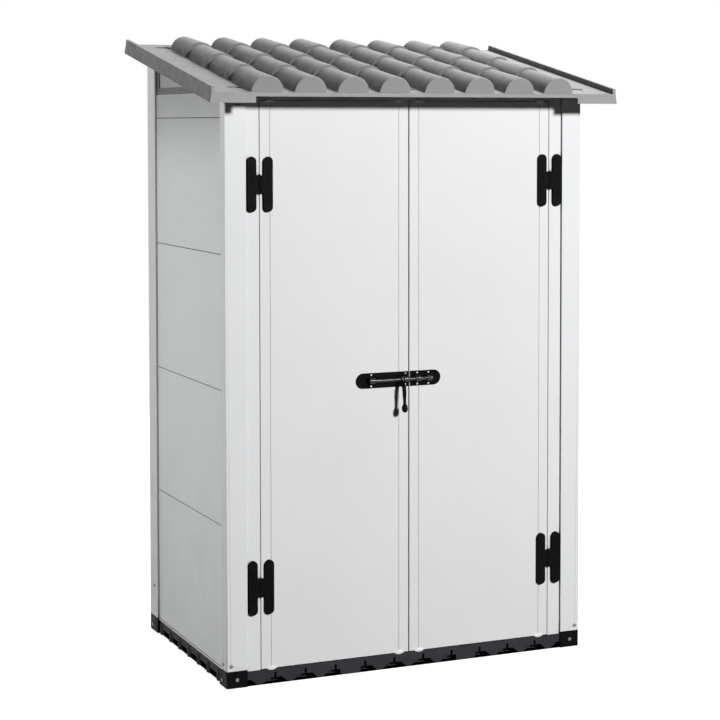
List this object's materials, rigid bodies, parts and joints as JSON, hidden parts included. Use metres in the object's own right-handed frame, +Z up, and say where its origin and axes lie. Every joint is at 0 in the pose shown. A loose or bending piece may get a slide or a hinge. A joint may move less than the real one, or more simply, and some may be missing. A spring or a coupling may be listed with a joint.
{
  "type": "garden storage cabinet",
  "caption": "Upright garden storage cabinet with a sloping barrel-tiled roof, double doors on strap hinges and a sliding bolt.",
  "frame": {"origin": "on the ground, under the middle of the whole cabinet's plan, roof included", "axes": "+Z up, front with the doors towards -Y, +X to the right seen from the front"},
  "size_m": [1.318, 0.842, 1.9195],
  "materials": {
    "floor_plastic": "moulded dark grey, dusty",
    "bracket_plastic": "moulded black",
    "frame_plastic": "extruded light grey, satin",
    "wall_plastic": "extruded light grey, satin",
    "door_plastic": "extruded light grey, satin",
    "gable_frame_plastic": "moulded dark grey",
    "gable_panel_plastic": "smooth light grey",
    "roof_plastic": "moulded mid grey, fine grain",
    "clip_plastic": "moulded off-white",
    "hinge_plastic": "moulded black",
    "pin_steel": "drawn steel, dark",
    "screw_steel": "blackened screw",
    "assembly_screw_steel": "zinc plated",
    "bolt_black_metal": "black powder coat",
    "rivet_steel": "bright steel"
  },
  "bodies": {
    "cabinet": {"floor_module_front_left": "floor_plastic", "floor_module_front_middle": "floor_plastic", "floor_module_front_right": "floor_plastic", "floor_module_rear_left": "floor_plastic", "floor_module_rear_middle": "floor_plastic", "floor_module_rear_right": "floor_plastic", "foot_bracket_front_left": "bracket_plastic", "foot_bracket_front_right": "bracket_plastic", "foot_bracket_rear_left": "bracket_plastic", "foot_bracket_rear_right": "bracket_plastic", "corner_post_front_left": "frame_plastic", "corner_post_front_right": "frame_plastic", "corner_post_rear_left": "frame_plastic", "corner_post_rear_right": "frame_plastic", "left_wall_board_1": "wall_plastic", "left_wall_board_2": "wall_plastic", "left_wall_board_3": "wall_plastic", "left_wall_board_4": "wall_plastic", "left_wall_board_5": "wall_plastic", "right_wall_board_1": "wall_plastic", "right_wall_board_2": "wall_plastic", "right_wall_board_3": "wall_plastic", "right_wall_board_4": "wall_plastic", "right_wall_board_5": "wall_plastic", "wall_base_rails": "frame_plastic", "gable_frame_left": "gable_frame_plastic", "gable_frame_right": "gable_frame_plastic", "gable_panels": "gable_panel_plastic", "rear_wall_boards": "wall_plastic", "head_rail": "frame_plastic", "rear_top_rail": "frame_plastic", "roof": "roof_plastic", "hinge_frame_leaves": "hinge_plastic", "hinge_pins": "pin_steel", "hinge_frame_screws": "screw_steel", "door_jamb_left": "frame_plastic", "door_jamb_right": "frame_plastic", "assembly_screws": "assembly_screw_steel"},
    "left_door": {"left_door_panel": "door_plastic", "left_door_hinge_stile": "door_plastic", "left_door_lock_stile": "door_plastic", "left_door_end_rails": "door_plastic", "left_door_clips": "clip_plastic", "left_door_hinge_leaves": "hinge_plastic", "left_door_hinge_screws": "screw_steel", "bolt_plate": "bolt_black_metal", "bolt_guides": "bolt_black_metal", "bolt_rivets": "rivet_steel"},
    "right_door": {"right_door_panel": "door_plastic", "right_door_hinge_stile": "door_plastic", "right_door_lock_stile": "door_plastic", "right_door_end_rails": "door_plastic", "right_door_clips": "clip_plastic", "right_door_hinge_leaves": "hinge_plastic", "right_door_hinge_screws": "screw_steel", "keeper_plate": "bolt_black_metal", "keeper_guides": "bolt_black_metal", "keeper_rivets": "rivet_steel"},
    "bolt_rod": {"bolt_rod": "bolt_black_metal"},
    "bolt_handle": {"bolt_handle": "bolt_black_metal"}
  },
  "joints": [
    {"name": "left_door_hinge", "type": "hinge", "parent": "cabinet", "child": "left_door", "pos_m": [-0.4766, -0.327, 0.877], "axis": [0, 0, -1], "range_deg": [0, 110]},
    {"name": "right_door_hinge", "type": "hinge", "parent": "cabinet", "child": "right_door", "pos_m": [0.4766, -0.327, 0.877], "axis": [0, 0, 1], "range_deg": [0, 110]},
    {"name": "bolt_slide", "type": "slide", "parent": "left_door", "child": "bolt_rod", "axis": [-1, 0, 0], "range_m": [0, 0.075]},
    {"name": "bolt_handle_pivot", "type": "hinge", "parent": "bolt_rod", "child": "bolt_handle", "pos_m": [-0.029, -0.336, 0.876], "axis": [-1, 0, 0], "range_deg": [0, 90]}
  ]
}
